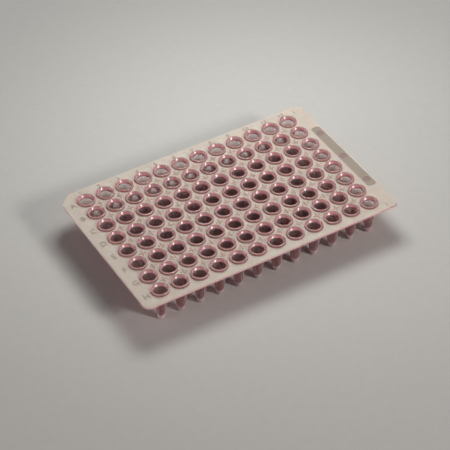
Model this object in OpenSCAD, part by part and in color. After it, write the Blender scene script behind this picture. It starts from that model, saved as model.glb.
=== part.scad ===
// Low-profile 96-well plate without a skirt, moulded in one piece: a flat deck that
// carries twelve by eight thin-walled conical tubes, each with a raised rim round its
// mouth. It stands on the rounded tips of its tubes.
// +X runs from column 1 to column 12, +Y from row H to row A, and +Z is up.
// The origin lies under the middle of the deck, at the level of the tips. The wells lie
// a little nearer to the end beside column 1 and to the side beside row H.

/* [Well array] */
// Wells in a row, along X
columns = 12; // [2:1:12]
// Wells in a column, along Y
rows = 8; // [6:1:8]
// Centre to centre of neighbouring wells
pitch = 9; // [8.4:0.1:12]

/* [Deck] */
// Thickness of the deck
deck_thickness = 1; // [0.6:0.05:1.6]
// Centre of column 1 to the end of the deck beside it
first_column_margin = 9.9; // [9.2:0.1:20]
// Centre of the last column to the other end, where the label panel is
last_column_margin = 10.9; // [10.8:0.1:20]
// Centre of row A to the long side beside it, where the column numbers are
first_row_margin = 8.1; // [7.4:0.1:16]
// Centre of the last row to the other long side
last_row_margin = 6.8; // [6.7:0.1:16]
// Radius of the three rounded corners
corner_radius = 3; // [1:0.1:4]
// Length that the cut corner beside well A1 takes off each side
key_cut = 5.2; // [2:0.1:5.5]
// Rounding of the upper edge all round the deck
edge_radius = 0.35; // [0.1:0.05:0.4]

/* [Rims] */
// Height of the rims above the deck
rim_height = 0.9; // [0.4:0.05:1.5]
// Outside diameter of a rim
rim_diameter = 7.7; // [7.6:0.1:8]
// Rounding of a rim's upper edge, outside
rim_rounding = 0.25; // [0.05:0.05:0.3]
// Rounding of a rim's upper edge, at the mouth
mouth_rounding = 0.4; // [0.05:0.05:0.45]
// Inside diameter of the wide mouth, from the rim down to the middle of the deck
mouth_diameter = 5.9; // [5.7:0.05:5.95]

/* [Tubes] */
// Rim tops above the surface that the tips stand on
plate_height = 15.9; // [14:0.1:22]
// Inside diameter of the straight bore below the mouth
bore_diameter = 5.5; // [5.3:0.05:5.6]
// Depth of the straight bore's lower end, from the rim top
bore_depth = 4; // [3:0.1:6]
// Wall of the tube and of its tip
tube_wall = 0.35; // [0.25:0.05:0.45]
// Outside radius of the rounded tip
tip_radius = 1.6; // [1.2:0.05:2]
// Outside diameter of the thicker collar under the deck
collar_diameter = 6.8; // [6.7:0.1:7.2]
// Length of the collar below the deck, with its sloping shoulder
collar_length = 0.8; // [0.5:0.1:1]

/* [Crosses] */
// Raised crosses between the wells, from tip to tip of an arm
cross_length = 3; // [1:0.1:3.6]
// Width of an arm
cross_width = 0.5; // [0.3:0.05:1]
// Height of the crosses above the deck
cross_height = 0.4; // [0.2:0.05:1]

/* [Ejector marks] */
// Diameter of the round marks that the ejector pins leave
mark_diameter = 3.4; // [1:0.1:3.6]
// Depth of the marks
mark_depth = 0.12; // [0.05:0.01:0.3]
// Centres of the outer wells to the rows of marks in the margins
mark_offset = 4.5; // [4.3:0.1:4.5]

/* [Label panel] */
// Length of the sunk writing panel at the end beyond the last column
panel_length = 45.4; // [20:0.1:54]
// Width of the panel
panel_width = 4.2; // [3.2:0.1:4.6]
// Panel to the end of the deck
panel_inset = 0.9; // [0.6:0.1:1.2]
// Radius of the panel's corners
panel_radius = 1.5; // [0.5:0.1:1.5]
// Depth of the panel
panel_depth = 0.12; // [0.05:0.01:0.2]

/* [Hidden] */
$fn = 64;
// Reach of a cutter past the face that it opens, and of a raised shape into its base
past = 0.3;

array_length = (columns - 1) * pitch;
array_width = (rows - 1) * pitch;
deck_length = first_column_margin + array_length + last_column_margin;
deck_width = first_row_margin + array_width + last_row_margin;
deck_top = plate_height - rim_height;
deck_bottom = deck_top - deck_thickness;
deck_middle = deck_top - deck_thickness / 2;

rim_radius = rim_diameter / 2;
mouth_radius = mouth_diameter / 2;
collar_radius = collar_diameter / 2;
bore_radius = bore_diameter / 2;
tube_radius = bore_radius + tube_wall;
bore_bottom = plate_height - bore_depth;
tip_bore_radius = tip_radius - tube_wall;

// Half angle of the cone that touches a tip of radius r smoothly and has radius top_r
// at height h above the tip's centre
function taper(r, top_r, h) = atan2(top_r, h) - asin(r / norm([top_r, h]));
cone = taper(tip_bore_radius, bore_radius, bore_bottom - tip_radius);

// Where a rounded tip of radius r ends and its cone begins: [radius, height]
function tip_edge(r) = [r * cos(cone), tip_radius - r * sin(cone)];
// Height at which the cone outside a tip of radius r has the radius wide_r
function cone_height(r, wide_r) = tip_radius + (wide_r - r / cos(cone)) / tan(cone);

// Places of the array, counted from column 1 and from the last row. Halves lie between
// wells.
function place(i, j) = [first_column_margin - deck_length / 2 + i * pitch,
                        last_row_margin - deck_width / 2 + j * pitch];

// One copy at each well
module at_wells() {
    for (i = [0:columns - 1], j = [0:rows - 1])
        translate(place(i, j))
            children();
}

// Round-cornered waste of an outline whose corner lies at the origin, material at -X -Y
module corner_waste(r, reach = 0) {
    difference() {
        translate([-r, -r])
            square(r + reach);
        translate([-r, -r])
            circle(r);
    }
}

// A rectangle with round corners, about the origin
module round_rectangle(length, width, r) {
    difference() {
        square([length, width], center = true);
        for (x = [0, 1], y = [0, 1])
            mirror([x, 0])
                mirror([0, y])
                    translate([length / 2, width / 2])
                        corner_waste(r);
    }
}

// The deck seen from above: three round corners, and the cut one beside well A1
module deck_outline() {
    x = deck_length / 2;
    y = deck_width / 2;
    difference() {
        square([deck_length, deck_width], center = true);
        translate([x, y])
            corner_waste(corner_radius);
        for (side = [0, 1])
            mirror([side, 0])
                translate([x, -y])
                    rotate(-90)
                        corner_waste(corner_radius);
        polygon([[-x, y], [-x, y - key_cut], [-x + key_cut, y]]);
    }
}

// What the rounding takes off a straight stretch of the deck's upper edge. The stretch
// runs from the origin along +X, with the deck on its left.
module edge_waste(length) {
    rotate([90, 0, 90])
        linear_extrude(length)
            mirror([1, 0])
                corner_waste(edge_radius, past);
}

// The same round one corner, about the centre of its arc, for the corner at +X +Y
module corner_edge_waste() {
    rotate_extrude(angle = 90)
        translate([corner_radius, 0])
            corner_waste(edge_radius, past);
}

// What the rounding takes off the whole upper edge
module deck_edge_waste() {
    x = deck_length / 2;
    y = deck_width / 2;
    r = corner_radius;
    translate([-x + r, -y])
        edge_waste(deck_length - 2 * r);
    translate([x, -y + r])
        rotate(90)
            edge_waste(deck_width - 2 * r);
    translate([x - r, y])
        rotate(180)
            edge_waste(deck_length - r - key_cut + past);
    translate([-x + key_cut + past, y + past])
        rotate(225)
            edge_waste((key_cut + 2 * past) * sqrt(2));
    translate([-x, y - key_cut + past])
        rotate(270)
            edge_waste(deck_width - r - key_cut + past);
    translate([x - r, y - r])
        corner_edge_waste();
    for (side = [0, 1])
        mirror([side, 0])
            translate([x - r, -y + r])
                rotate(-90)
                    corner_edge_waste();
}

// The panel lies beyond the middle of the last column
panel_place = [deck_length / 2 - panel_inset - panel_width / 2,
               place(0, (rows - 1) / 2).y];

// Places of the ejector marks. They stand in the gaps between every second pair of
// columns and rows: along both long margins, in the margin beside column 1, and in the
// middle line of the panel.
first_mark = place(0, 0) - [mark_offset, mark_offset];
last_mark = place(columns - 1, rows - 1) + [mark_offset, mark_offset];
mark_columns = concat(first_mark.x, [for (i = [2:2:columns - 2]) place(i - 0.5, 0).x],
                      last_mark.x);
mark_rows = [for (j = [2:2:rows - 2]) place(0, j - 0.5).y];
mark_places = concat([for (x = mark_columns, y = [first_mark.y, last_mark.y]) [x, y]],
                     [for (y = mark_rows) [first_mark.x, y]]);
panel_mark_places = [for (y = mark_rows) [panel_place.x, y]];

module ejector_mark(floor) {
    translate([0, 0, floor - mark_depth])
        cylinder(h = mark_depth + panel_depth + past, d = mark_diameter);
}

// The flat deck, with a hole for each tube to pass through
module deck() {
    difference() {
        translate([0, 0, deck_bottom])
            linear_extrude(deck_thickness)
                difference() {
                    deck_outline();
                    at_wells()
                        circle((mouth_radius + collar_radius) / 2);
                }
        translate([0, 0, deck_top])
            deck_edge_waste();
        for (p = mark_places)
            translate(p)
                ejector_mark(deck_top);
        translate([panel_place.x, panel_place.y, deck_top - panel_depth])
            linear_extrude(panel_depth + past)
                round_rectangle(panel_width, panel_length, panel_radius);
        for (p = panel_mark_places)
            translate(p)
                ejector_mark(deck_top - panel_depth);
    }
}

// Half of the rounded tip of radius r, below the level where its cone begins
module half_tip(r) {
    intersection() {
        translate([0, tip_radius])
            circle(r);
        translate([0, tip_radius - r])
            square([r, tip_edge(r).y - tip_radius + r]);
    }
}

// Outside of a tube from tip to rim, right of the axis, with height along Y
module tube_outside() {
    shoulder = collar_radius - tube_radius;
    half_tip(tip_radius);
    difference() {
        polygon([
            [0, tip_edge(tip_radius).y],
            tip_edge(tip_radius),
            [tube_radius, cone_height(tip_radius, tube_radius)],
            [tube_radius, deck_bottom - collar_length],
            [collar_radius, deck_bottom - collar_length + shoulder],
            [collar_radius, deck_middle],
            [rim_radius, deck_middle],
            [rim_radius, plate_height],
            [0, plate_height]]);
        translate([rim_radius, plate_height])
            corner_waste(rim_rounding);
    }
}

// The hollow of a tube, right of the axis: cone, straight bore, and the wide mouth with
// a short slope under it and a rounded edge above
module tube_hollow() {
    half_tip(tip_bore_radius);
    polygon([
        [0, tip_edge(tip_bore_radius).y],
        tip_edge(tip_bore_radius),
        [bore_radius, bore_bottom],
        [bore_radius, deck_middle - mouth_radius + bore_radius],
        [mouth_radius, deck_middle],
        [mouth_radius, plate_height],
        [0, plate_height]]);
    translate([mouth_radius, plate_height])
        mirror([1, 0])
            corner_waste(mouth_rounding);
}

// One tube with its rim, hollow from the mouth down to the tip
module tube() {
    rotate_extrude()
        difference() {
            tube_outside();
            tube_hollow();
        }
}

// One raised cross, set into the deck
module cross() {
    translate([0, 0, deck_top - past])
        linear_extrude(cross_height + past) {
            square([cross_length, cross_width], center = true);
            square([cross_width, cross_length], center = true);
        }
}

// The whole plate: deck, tubes, and a cross in the middle of each four wells
module well_plate() {
    color([0.84, 0.66, 0.66]) {
        deck();
        at_wells()
            tube();
        for (i = [0:columns - 2], j = [0:rows - 2])
            translate(place(i + 0.5, j + 0.5))
                cross();
    }
}

well_plate();
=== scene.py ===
import math

import bpy
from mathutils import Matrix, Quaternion, Vector


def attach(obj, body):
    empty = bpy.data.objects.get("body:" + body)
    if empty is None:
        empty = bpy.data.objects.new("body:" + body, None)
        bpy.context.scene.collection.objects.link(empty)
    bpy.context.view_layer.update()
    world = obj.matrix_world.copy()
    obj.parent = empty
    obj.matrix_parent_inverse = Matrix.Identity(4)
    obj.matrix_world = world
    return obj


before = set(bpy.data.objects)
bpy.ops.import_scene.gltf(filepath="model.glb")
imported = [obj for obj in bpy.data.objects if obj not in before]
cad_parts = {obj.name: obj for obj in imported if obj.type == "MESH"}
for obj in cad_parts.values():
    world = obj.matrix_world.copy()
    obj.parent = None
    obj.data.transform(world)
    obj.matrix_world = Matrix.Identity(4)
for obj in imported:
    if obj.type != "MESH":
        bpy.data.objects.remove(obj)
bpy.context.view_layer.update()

MM = 0.001

# ---- sizes, as in the CAD model -------------------------------------------------
PITCH = 9.0
COLUMNS, ROWS = 12, 8
ARRAY_CENTRE = Vector((-0.5, -0.65))
FIRST_WELL = ARRAY_CENTRE - Vector((COLUMNS - 1, ROWS - 1)) * PITCH / 2
RIM_TOP = 15.9
DECK_TOP = 15.0
DECK_BOTTOM = 14.0
RIM_RADIUS = 3.85
BORE_RADIUS = 2.75
TUBE_WALL = 0.35
MOUTH_BOTTOM = 14.55      # where the bore ends and the wider mouth begins to show
BORE_BOTTOM = 11.9        # the straight part of the bore ends here, and a cone begins
CONE_SLOPE = 0.1444       # how much the cone's radius shrinks with each unit of depth
PANEL_X = 56.9            # middle of the sunk strip beside the last column
PANEL_HALF_WIDTH = 2.1

# ---- lettering ------------------------------------------------------------------
LETTER_HEIGHT = 0.2
ROW_LETTER_SIZE, ROW_LETTER_X, ROW_LETTER_DROP = 4.0, -55.7, 0.35
NUMBER_SIZE, NUMBER_Y = 3.1, 37.15

# ---- colours of the plastic, some with painted light and shade -------------------
DECK = (0.685, 0.616, 0.545)        # open deck
EJECTOR_MARK = (0.70, 0.655, 0.575)
STRIP_PAINTED_SHADE = (0.385, 0.32, 0.265)        # sunk strip: painted shade, darker than the deck for the sheen its rough finish lacks
STRIP_MARK = (0.32, 0.215, 0.20)
# painted light and shade on the raised crosses: tops darker, sides lighter, to even out how
# they are lit
CROSS_TOP_PAINTED_SHADE = (0.46, 0.345, 0.30)
CROSS_SIDE_PAINTED_LIGHT = (0.85, 0.66, 0.60)
# painted shade: raised letters darker than the deck, for the shade along their edges
GLYPH_PAINTED_SHADE = (0.50, 0.40, 0.35)
EDGE = (1.0, 0.48, 0.53)            # outer edge of the deck, where the tint runs deep
RIM = (0.65, 0.36, 0.375)           # collar round each well
RIM_FOOT_SHADE = (0.66, 0.55, 0.49)       # painted shade: a darker ring round the collar's foot and on its outer top edge
# painted glow: the mouth's wall is the plastic's pink, painted bright, brightest low down, for
# light that scatters through the collar
MOUTH_LOW_GLOW = (1.0, 0.51, 0.57)
MOUTH_HIGH_GLOW = (0.64, 0.34, 0.36)
BORE_HIGH = (0.90, 0.82, 0.80)      # straight part of the bore
BORE_LOW_SHADE = (0.50, 0.38, 0.345)      # cone below it: painted shade, darker deep in the well
BORE_BEHIND = (0.86, 0.66, 0.67)    # both, met from inside the plastic
TUBE_PAINTED_SHADE = (0.52, 0.32, 0.335)          # outside of a well, under the deck: painted shade, darker than the plastic for the deck's shadow; lighter at the tip
TUBE_SLANT_GLOW = (0.98, 0.66, 0.71)      # painted glow where its wall is seen at a slant, for light bent through the clear wall
TUBE_BEHIND = (0.93, 0.86, 0.87)    # the same wall, met from inside the plastic
TIP = (0.98, 0.66, 0.72)
# painted glow where the tip is seen at a slant: a bright ring round a darker middle
TIP_SLANT_GLOW = (1.0, 0.80, 0.86)
TINT = (0.92, 0.45, 0.52)           # of light that goes through the plastic
TINT_DENSITY = 200.0

# ---- finish of the plastic -------------------------------------------------------
# the share of light that each place lets through
DECK_CLEAR, EDGE_CLEAR, RIM_CLEAR, MOUTH_CLEAR = 0.2, 0.0, 0.5, 0.15
BORE_HIGH_CLEAR, BORE_LOW_CLEAR, TUBE_CLEAR, TIP_CLEAR = 0.85, 0.7, 0.95, 0.36
EDGE_HAZE = 0.35          # the share that a tube's wall loses at a slant
DECK_ROUGH, RIM_ROUGH, TUBE_ROUGH = 0.70, 0.18, 0.07
ROUGH_SPREAD = 0.03
REFRACTION, SPECULAR = 1.49, 0.9
SCATTER_REACH, SCATTER_MM = (1.0, 0.85, 0.8), 1.5
CLOUD_SCALE, CLOUD_SHADE = 0.35, (0.95, 1.03)    # slow mottling: features per mm, shade
GRAIN_SCALE, GRAIN_SHADE = 3.2, 0.02             # fine grain
DECK_GRAIN = 0.012        # height of the grain on the deck
# the mouth is moulded as a steep funnel: how far its face leans up, low and high
FUNNEL_LEAN = (1.0, 0.7)

# ---- where one look gives way to the next ---------------------------------------
# Each pair is (none of it, all of it), in mm. SLANT is in Layer Weight's own measure.
DECK_RADII = (RIM_RADIUS + 0.01, RIM_RADIUS + 0.09)
FOOT_SHADE_RADII = (RIM_RADIUS + 0.04, RIM_RADIUS + 0.3)
SIDE_HEIGHTS = (DECK_TOP - 0.25, DECK_TOP - 0.31)
RAISED_HEIGHTS = (DECK_TOP + 0.02, DECK_TOP + 0.06)
GLYPH_AREA = (50, 52)
CROSS_TOP_HEIGHTS = (DECK_TOP + 0.33, DECK_TOP + 0.38)
SUNK_HEIGHTS = (DECK_TOP - 0.03, DECK_TOP - 0.08)
STRIP_WIDTHS = (PANEL_HALF_WIDTH + 0.02, PANEL_HALF_WIDTH - 0.02)
STRIP_MARK_HEIGHTS = (DECK_TOP - 0.16, DECK_TOP - 0.20)
LIP_SHADE_RADII = (RIM_RADIUS - 0.25, RIM_RADIUS - 0.11)
LIP_SHADE_HEIGHTS = (RIM_TOP - 0.28, RIM_TOP - 0.20)
WIDENING_HEIGHTS, WIDENING = (14.25, 14.45), 0.33   # of the wall's middle, at the mouth
HOLLOW_MARGINS = (0.02, -0.06)                      # from the wall's middle
HOLLOW_HEIGHTS = (1.2, 3.0)
BORE_HEIGHTS = (MOUTH_BOTTOM, MOUTH_BOTTOM - 0.12)
STRAIGHT_HEIGHTS = (BORE_BOTTOM - 0.3, BORE_BOTTOM + 1.0)
TUBE_HEIGHTS = (DECK_BOTTOM, DECK_BOTTOM - 0.4)
TIP_HEIGHTS = (4.2, 2.0)
MOUTH_HIGH_HEIGHTS = (15.0, 15.7)
FUNNEL_RADII = (3.60, 3.35)
FUNNEL_HEIGHTS = (MOUTH_BOTTOM - 0.12, MOUTH_BOTTOM)
SLANT = (0.35, 0.85)
NOISE_RANGE = (0.3, 0.7)  # where nearly all of a noise texture's values lie

# ---- light ----------------------------------------------------------------------
# name, azimuth, elevation, distance in m, width, height, power in W, colour
LAMPS = (
    ("key", 27, 32, 1.2, 0.21, 0.21, 5.8, (1.0, 0.94, 0.885)),
    ("back", 142, 65, 0.22, 0.12, 0.10, 0.325, (0.98, 1.0, 0.955)),
    ("left", -100, 10, 1.1, 0.6, 0.3, 3.3, (1.0, 0.95, 0.91)),
)
WORLD_COLOUR, WORLD_STRENGTH = (1.0, 0.98, 0.96), 0.10
FLOOR_SIZE, FLOOR_GRAIN, FLOOR_ROUGH = 6.0, 260.0, 0.9
FLOOR_DARK, FLOOR_PALE = (0.56, 0.55, 0.54), (0.60, 0.59, 0.58)
BACKDROP = (0.55, 0.545, 0.53)      # what the camera sees beyond the lit floor
FLOOR_FADE = (0.12, 0.40)           # the floor turns into it between these radii, in m

# ---- camera ---------------------------------------------------------------------
AIM = Vector((-9.08, -13.31, RIM_TOP))
DISTANCE = 748.6
AZIMUTH, ELEVATION, ROLL = -29.78, 41.74, -1.34
LENS = 146.62


# ---- node helpers ---------------------------------------------------------------
class Nodes:
    """Adds nodes to a material's tree. Inputs may be sockets, numbers or vectors."""

    def __init__(self, tree):
        self.tree = tree

    def put(self, socket, value):
        if isinstance(value, bpy.types.NodeSocket):
            self.tree.links.new(value, socket)
        else:
            socket.default_value = value

    def new(self, kind, **settings):
        node = self.tree.nodes.new(kind)
        for key, value in settings.items():
            setattr(node, key, value)
        return node

    def math(self, operation, a, b=0.0):
        node = self.new("ShaderNodeMath", operation=operation)
        self.put(node.inputs[0], a)
        self.put(node.inputs[1], b)
        return node.outputs[0]

    def product(self, first, *others):
        for other in others:
            first = self.math("MULTIPLY", first, other)
        return first

    def invert(self, value):
        return self.math("SUBTRACT", 1.0, value)

    def vector(self, operation, a, b=(0, 0, 0)):
        node = self.new("ShaderNodeVectorMath", operation=operation)
        self.put(node.inputs[0], a)
        self.put(node.inputs[1], b)
        return node.outputs["Value" if operation == "LENGTH" else "Vector"]

    def combine(self, x=0.0, y=0.0, z=0.0):
        node = self.new("ShaderNodeCombineXYZ")
        for socket, value in zip(node.inputs, (x, y, z)):
            self.put(socket, value)
        return node.outputs[0]

    def ramp(self, value, low, high, to_low=0.0, to_high=1.0, smooth=True):
        node = self.new("ShaderNodeMapRange")
        node.interpolation_type = "SMOOTHSTEP" if smooth else "LINEAR"
        for socket, v in zip(node.inputs, (value, low, high, to_low, to_high)):
            self.put(socket, v)
        return node.outputs[0]

    def mix(self, share, a, b):
        """Colour a where share is 0, b where it is 1."""
        node = self.new("ShaderNodeMix", data_type="RGBA")
        self.put(node.inputs["Factor"], share)
        colours = [s for s in node.inputs if s.type == "RGBA"]
        for socket, value in zip(colours, (a, b)):
            self.put(socket, value if isinstance(value, bpy.types.NodeSocket) else (*value, 1))
        return [s for s in node.outputs if s.type == "RGBA"][0]

    def pick(self, share, a, b):
        """Number a where share is 0, b where it is 1."""
        node = self.new("ShaderNodeMix", data_type="FLOAT")
        for socket, value in zip((node.inputs[0], node.inputs[2], node.inputs[3]),
                                 (share, a, b)):
            self.put(socket, value)
        return node.outputs[0]

    def noise(self, place, scale, detail):
        node = self.new("ShaderNodeTexNoise")
        self.put(node.inputs["Vector"], place)
        node.inputs["Scale"].default_value = scale
        node.inputs["Detail"].default_value = detail
        return node.outputs["Fac"]


def seen_directly(n):
    """1 for rays that show a background: from the camera, a gloss or clear plastic."""
    rays = n.new("ShaderNodeLightPath").outputs
    either = n.math("MAXIMUM", rays["Is Camera Ray"], rays["Is Glossy Ray"])
    return n.math("MAXIMUM", either, rays["Is Transmission Ray"])


def material(name):
    made = bpy.data.materials.new(name)
    made.use_nodes = True
    return made, Nodes(made.node_tree), made.node_tree.nodes["Principled BSDF"]


# ---- materials ------------------------------------------------------------------
def plastic():
    """Translucent pink polypropylene: pale on the flat deck, deeper in the wells, with painted
    shade and painted glow in places.
    """
    made, n, shader = material("pink_polypropylene")
    place = n.new("ShaderNodeTexCoord").outputs["Object"]
    mm = n.vector("MULTIPLY", place, (1 / MM,) * 3)
    # the nearest well's axis, and the distance from it
    step = n.vector("DIVIDE", n.vector("SUBTRACT", mm, (*FIRST_WELL, 0)), (PITCH,) * 3)
    nearest = n.vector("FLOOR", n.vector("ADD", step, (0.5, 0.5, 0.5)))
    nearest = n.vector("MINIMUM", nearest, (COLUMNS - 1, ROWS - 1, 0))
    nearest = n.vector("MAXIMUM", nearest, (0, 0, 0))
    offset = n.vector("MULTIPLY", n.vector("SUBTRACT", step, nearest), (PITCH, PITCH, 0))
    radius = n.vector("LENGTH", offset)
    separate = n.new("ShaderNodeSeparateXYZ")
    n.put(separate.inputs[0], mm)
    x, y, height = (separate.outputs[axis] for axis in "XYZ")

    # Zones, each 0 outside and 1 inside. First the deck and what is on it.
    deck = n.ramp(radius, *DECK_RADII)
    deck_past_foot_shade = n.ramp(radius, *FOOT_SHADE_RADII)
    side = n.product(deck, n.ramp(height, *SIDE_HEIGHTS))
    raised = n.product(deck, n.ramp(height, *RAISED_HEIGHTS))
    from_x = n.math("ABSOLUTE", n.math("SUBTRACT", x, ARRAY_CENTRE.x))
    from_y = n.math("ABSOLUTE", n.math("SUBTRACT", y, ARRAY_CENTRE.y))
    outside = n.math("MAXIMUM", from_x, n.product(from_y, COLUMNS / ROWS))
    shaded_glyphs = n.product(raised, n.ramp(outside, *GLYPH_AREA))
    painted_cross_top = n.ramp(height, *CROSS_TOP_HEIGHTS)
    below_deck = n.ramp(height, *SUNK_HEIGHTS)
    sunk = n.product(deck, below_deck)
    from_strip = n.math("ABSOLUTE", n.math("SUBTRACT", x, PANEL_X))
    strip = n.product(below_deck, n.ramp(from_strip, *STRIP_WIDTHS))
    strip_mark = n.ramp(height, *STRIP_MARK_HEIGHTS)
    # Then a well's collar and the plastic inside and outside its wall, told apart by
    # the middle of the wall, which narrows down the cone and widens at the mouth.
    # painted shade: the collar's outer top edge gets the darker ring colour
    lip_shade = n.product(n.ramp(radius, *LIP_SHADE_RADII), n.ramp(height, *LIP_SHADE_HEIGHTS))
    narrowing = n.product(n.math("MAXIMUM", n.math("SUBTRACT", BORE_BOTTOM, height), 0.0),
                          CONE_SLOPE)
    wall_middle = n.math("SUBTRACT", BORE_RADIUS + TUBE_WALL / 2, narrowing)
    wall_middle = n.math("ADD", wall_middle, n.ramp(height, *WIDENING_HEIGHTS, 0.0, WIDENING))
    hollow = n.product(n.ramp(n.math("SUBTRACT", radius, wall_middle), *HOLLOW_MARGINS),
                       n.ramp(height, *HOLLOW_HEIGHTS))
    bore = n.product(hollow, n.ramp(height, *BORE_HEIGHTS))
    mouth = n.product(hollow, n.invert(bore))
    tube = n.product(n.ramp(height, *TUBE_HEIGHTS), n.invert(hollow))
    tip = n.product(tube, n.ramp(height, *TIP_HEIGHTS))

    # painted shade: a darker ring where collar and deck meet, and on the collar's outer top
    # edge
    colour = n.mix(deck, n.mix(lip_shade, RIM, RIM_FOOT_SHADE), n.mix(deck_past_foot_shade, RIM_FOOT_SHADE, DECK))
    colour = n.mix(sunk, colour, EJECTOR_MARK)
    # painted shade: the sunk strip darker than the deck
    colour = n.mix(strip, colour, n.mix(strip_mark, STRIP_PAINTED_SHADE, STRIP_MARK))
    # painted shade on the crosses' tops and painted light on their sides
    colour = n.mix(raised, colour, n.mix(painted_cross_top, CROSS_SIDE_PAINTED_LIGHT, CROSS_TOP_PAINTED_SHADE))
    # painted shade: the letters darker than the deck
    colour = n.mix(shaded_glyphs, colour, GLYPH_PAINTED_SHADE)
    colour = n.mix(side, colour, EDGE)
    # painted glow in the mouth, darker towards the top
    high = n.ramp(height, *MOUTH_HIGH_HEIGHTS)
    colour = n.mix(mouth, colour, n.mix(high, MOUTH_LOW_GLOW, MOUTH_HIGH_GLOW))
    # Painted shade: a tube's wall is painted darker from outside than to light that leaves the
    # plastic, for the shade under the deck, so the outermost wells are clear and the inner
    # ones, with tubes behind them, are dark.
    # painted glow: tube walls and tips lighter where they are seen at a slant
    slant = n.ramp(n.new("ShaderNodeLayerWeight").outputs["Facing"], *SLANT)
    behind = n.new("ShaderNodeNewGeometry").outputs["Backfacing"]
    wall = n.mix(n.product(behind, n.invert(tip)), n.mix(slant, TUBE_PAINTED_SHADE, TUBE_SLANT_GLOW), TUBE_BEHIND)
    colour = n.mix(tube, colour, n.mix(tip, wall, n.mix(slant, TIP, TIP_SLANT_GLOW)))
    # painted shade: the cone at the bottom of the bore darker than its straight part
    straight = n.ramp(height, *STRAIGHT_HEIGHTS)
    bore_colour = n.mix(behind, n.mix(straight, BORE_LOW_SHADE, BORE_HIGH), BORE_BEHIND)
    colour = n.mix(bore, colour, bore_colour)
    # faint mottling, as moulded plastic has
    cloud = n.noise(mm, CLOUD_SCALE, 3.0)
    grain = n.noise(mm, GRAIN_SCALE, 2.0)
    shade = n.math("ADD", n.ramp(cloud, *NOISE_RANGE, *CLOUD_SHADE, smooth=False),
                   n.ramp(grain, *NOISE_RANGE, -GRAIN_SHADE, GRAIN_SHADE, smooth=False))
    n.put(shader.inputs["Base Color"], n.vector("MULTIPLY", colour,
                                                n.combine(shade, shade, shade)))

    matt = n.product(deck, n.invert(side))
    rough = n.pick(tube, n.pick(matt, RIM_ROUGH, DECK_ROUGH), TUBE_ROUGH)
    n.put(shader.inputs["Roughness"],
          n.math("ADD", rough, n.ramp(grain, *NOISE_RANGE, -ROUGH_SPREAD, ROUGH_SPREAD,
                                      smooth=False)))
    clear = n.pick(deck, RIM_CLEAR, DECK_CLEAR)
    clear = n.pick(side, clear, EDGE_CLEAR)
    clear = n.pick(mouth, clear, MOUTH_CLEAR)
    wall_clear = n.math("SUBTRACT", n.pick(tip, TUBE_CLEAR, TIP_CLEAR),
                        n.product(slant, EDGE_HAZE))
    clear = n.pick(tube, clear, wall_clear)
    clear = n.pick(bore, clear, n.pick(straight, BORE_LOW_CLEAR, BORE_HIGH_CLEAR))
    n.put(shader.inputs["Transmission Weight"], clear)

    # a fine grain on the deck, and the funnel's lean in the mouth
    bump = n.new("ShaderNodeBump")
    bump.inputs["Strength"].default_value = 1.0
    bump.inputs["Distance"].default_value = MM
    n.put(bump.inputs["Height"], n.product(grain, deck, DECK_GRAIN))
    face = bump.outputs[0]
    lean = n.ramp(height, MOUTH_BOTTOM, RIM_TOP, *FUNNEL_LEAN, smooth=False)
    inward = n.vector("NORMALIZE", n.vector("MULTIPLY", offset, (-1, -1, 0)))
    funnel = n.vector("NORMALIZE", n.vector("ADD", inward, n.combine(z=lean)))
    share = n.product(n.ramp(radius, *FUNNEL_RADII), n.ramp(height, *FUNNEL_HEIGHTS),
                      n.invert(behind))
    turn = n.vector("MULTIPLY", n.vector("SUBTRACT", funnel, face), share)
    n.put(shader.inputs["Normal"], n.vector("NORMALIZE", n.vector("ADD", face, turn)))

    shader.inputs["IOR"].default_value = REFRACTION
    shader.inputs["Specular IOR Level"].default_value = SPECULAR
    shader.inputs["Subsurface Weight"].default_value = 1.0
    shader.inputs["Subsurface Radius"].default_value = SCATTER_REACH
    shader.inputs["Subsurface Scale"].default_value = SCATTER_MM * MM
    absorb = n.new("ShaderNodeVolumeAbsorption")
    absorb.inputs["Color"].default_value = (*TINT, 1)
    absorb.inputs["Density"].default_value = TINT_DENSITY
    n.put(made.node_tree.nodes["Material Output"].inputs["Volume"], absorb.outputs[0])
    return made


def floor_material():
    made, n, shader = material("pale_floor")
    place = n.new("ShaderNodeTexCoord").outputs["Object"]
    n.put(shader.inputs["Base Color"],
          n.mix(n.noise(place, FLOOR_GRAIN, 3.0), FLOOR_DARK, FLOOR_PALE))
    shader.inputs["Roughness"].default_value = FLOOR_ROUGH
    distance = n.vector("LENGTH", place)
    glow = n.new("ShaderNodeEmission")
    glow.inputs["Color"].default_value = (*BACKDROP, 1)
    blend = n.new("ShaderNodeMixShader")
    n.put(blend.inputs[0], n.product(n.ramp(distance, *FLOOR_FADE), seen_directly(n)))
    n.put(blend.inputs[1], shader.outputs[0])
    n.put(blend.inputs[2], glow.outputs[0])
    n.put(made.node_tree.nodes["Material Output"].inputs["Surface"], blend.outputs[0])
    return made


# ---- the plate ------------------------------------------------------------------
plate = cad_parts["well_plate"]
pink = plastic()
plate.data.materials.clear()
plate.data.materials.append(pink)


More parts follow.
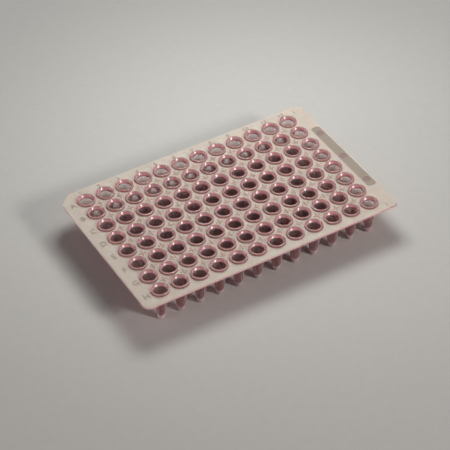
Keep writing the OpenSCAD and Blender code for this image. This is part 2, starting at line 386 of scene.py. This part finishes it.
def lettering(name, marks, size):
    """One piece of raised characters. Each mark is (text, x, y), with the middle of the
    text's box at x, y from the array's centre. Its lower half is inside the deck."""
    parts = []
    for text, x, y in marks:
        curve = bpy.data.curves.new(name, "FONT")
        curve.body = text
        curve.size = size * MM
        curve.extrude = LETTER_HEIGHT * MM
        curve.resolution_u = 4
        glyph = bpy.data.objects.new(name, curve)
        bpy.context.collection.objects.link(glyph)
        bpy.context.view_layer.update()
        corners = [Vector(corner) for corner in glyph.bound_box]
        middle = sum(corners, Vector()) / len(corners)
        spot = Vector((*(ARRAY_CENTRE + Vector((x, y))), DECK_TOP)) * MM
        glyph.location = spot - middle
        parts.append(glyph)
    bpy.context.view_layer.update()
    bpy.ops.object.select_all(action="DESELECT")
    for glyph in parts:
        glyph.select_set(True)
    bpy.context.view_layer.objects.active = parts[0]
    bpy.ops.object.convert(target="MESH")
    bpy.ops.object.join()
    made = bpy.context.object
    made.name = name
    bpy.ops.object.transform_apply(location=True, rotation=True, scale=True)
    made.data.materials.clear()
    made.data.materials.append(pink)
    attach(made, "root")
    return made


lettering("row_letters",
          [(chr(ord("A") + row), ROW_LETTER_X,
            ((ROWS - 1) / 2 - row) * PITCH - ROW_LETTER_DROP) for row in range(ROWS)],
          ROW_LETTER_SIZE)
lettering("column_numbers",
          [(str(column + 1), (column - (COLUMNS - 1) / 2) * PITCH, NUMBER_Y)
           for column in range(COLUMNS)],
          NUMBER_SIZE)


# ---- floor, light and camera ----------------------------------------------------
bpy.ops.mesh.primitive_plane_add(size=FLOOR_SIZE, location=(0, 0, 0))
floor = bpy.context.object
floor.name = "floor"
floor.data.materials.append(floor_material())


def direction(azimuth, elevation):
    a, e = math.radians(azimuth), math.radians(elevation)
    return Vector((math.sin(a) * math.cos(e), -math.cos(a) * math.cos(e), math.sin(e)))


def soft_light(name, azimuth, elevation, distance, width, height, power, colour):
    """A rectangular lamp that faces the middle of the plate."""
    lamp = bpy.data.lights.new(name, "AREA")
    lamp.shape = "RECTANGLE"
    lamp.size, lamp.size_y = width, height
    lamp.energy = power
    lamp.color = colour
    made = bpy.data.objects.new(name, lamp)
    back = direction(azimuth, elevation)
    made.location = back * distance
    made.rotation_euler = back.to_track_quat("Z", "Y").to_euler()
    bpy.context.collection.objects.link(made)


for lamp in LAMPS:
    soft_light(*lamp)

world = bpy.data.worlds.new("studio")
world.use_nodes = True
sky = Nodes(world.node_tree)
light = world.node_tree.nodes["Background"]
light.inputs["Color"].default_value = (*WORLD_COLOUR, 1)
light.inputs["Strength"].default_value = WORLD_STRENGTH
shown = sky.new("ShaderNodeBackground")
shown.inputs["Color"].default_value = (*BACKDROP, 1)
choice = sky.new("ShaderNodeMixShader")
sky.put(choice.inputs[0], seen_directly(sky))
sky.put(choice.inputs[1], light.outputs[0])
sky.put(choice.inputs[2], shown.outputs[0])
sky.put(world.node_tree.nodes["World Output"].inputs["Surface"], choice.outputs[0])
bpy.context.scene.world = world

camera = bpy.data.cameras.new("camera")
camera.sensor_width = 36
camera.lens = LENS
camera.clip_start, camera.clip_end = 0.01, 20
viewer = bpy.data.objects.new("camera", camera)
back = direction(AZIMUTH, ELEVATION)
viewer.location = (AIM + back * DISTANCE) * MM
viewer.rotation_mode = "QUATERNION"
viewer.rotation_quaternion = ((-back).to_track_quat("-Z", "Y")
                              @ Quaternion((0, 0, 1), math.radians(ROLL)))
bpy.context.collection.objects.link(viewer)
bpy.context.scene.camera = viewer

bpy.context.scene.view_settings.view_transform = "Standard"
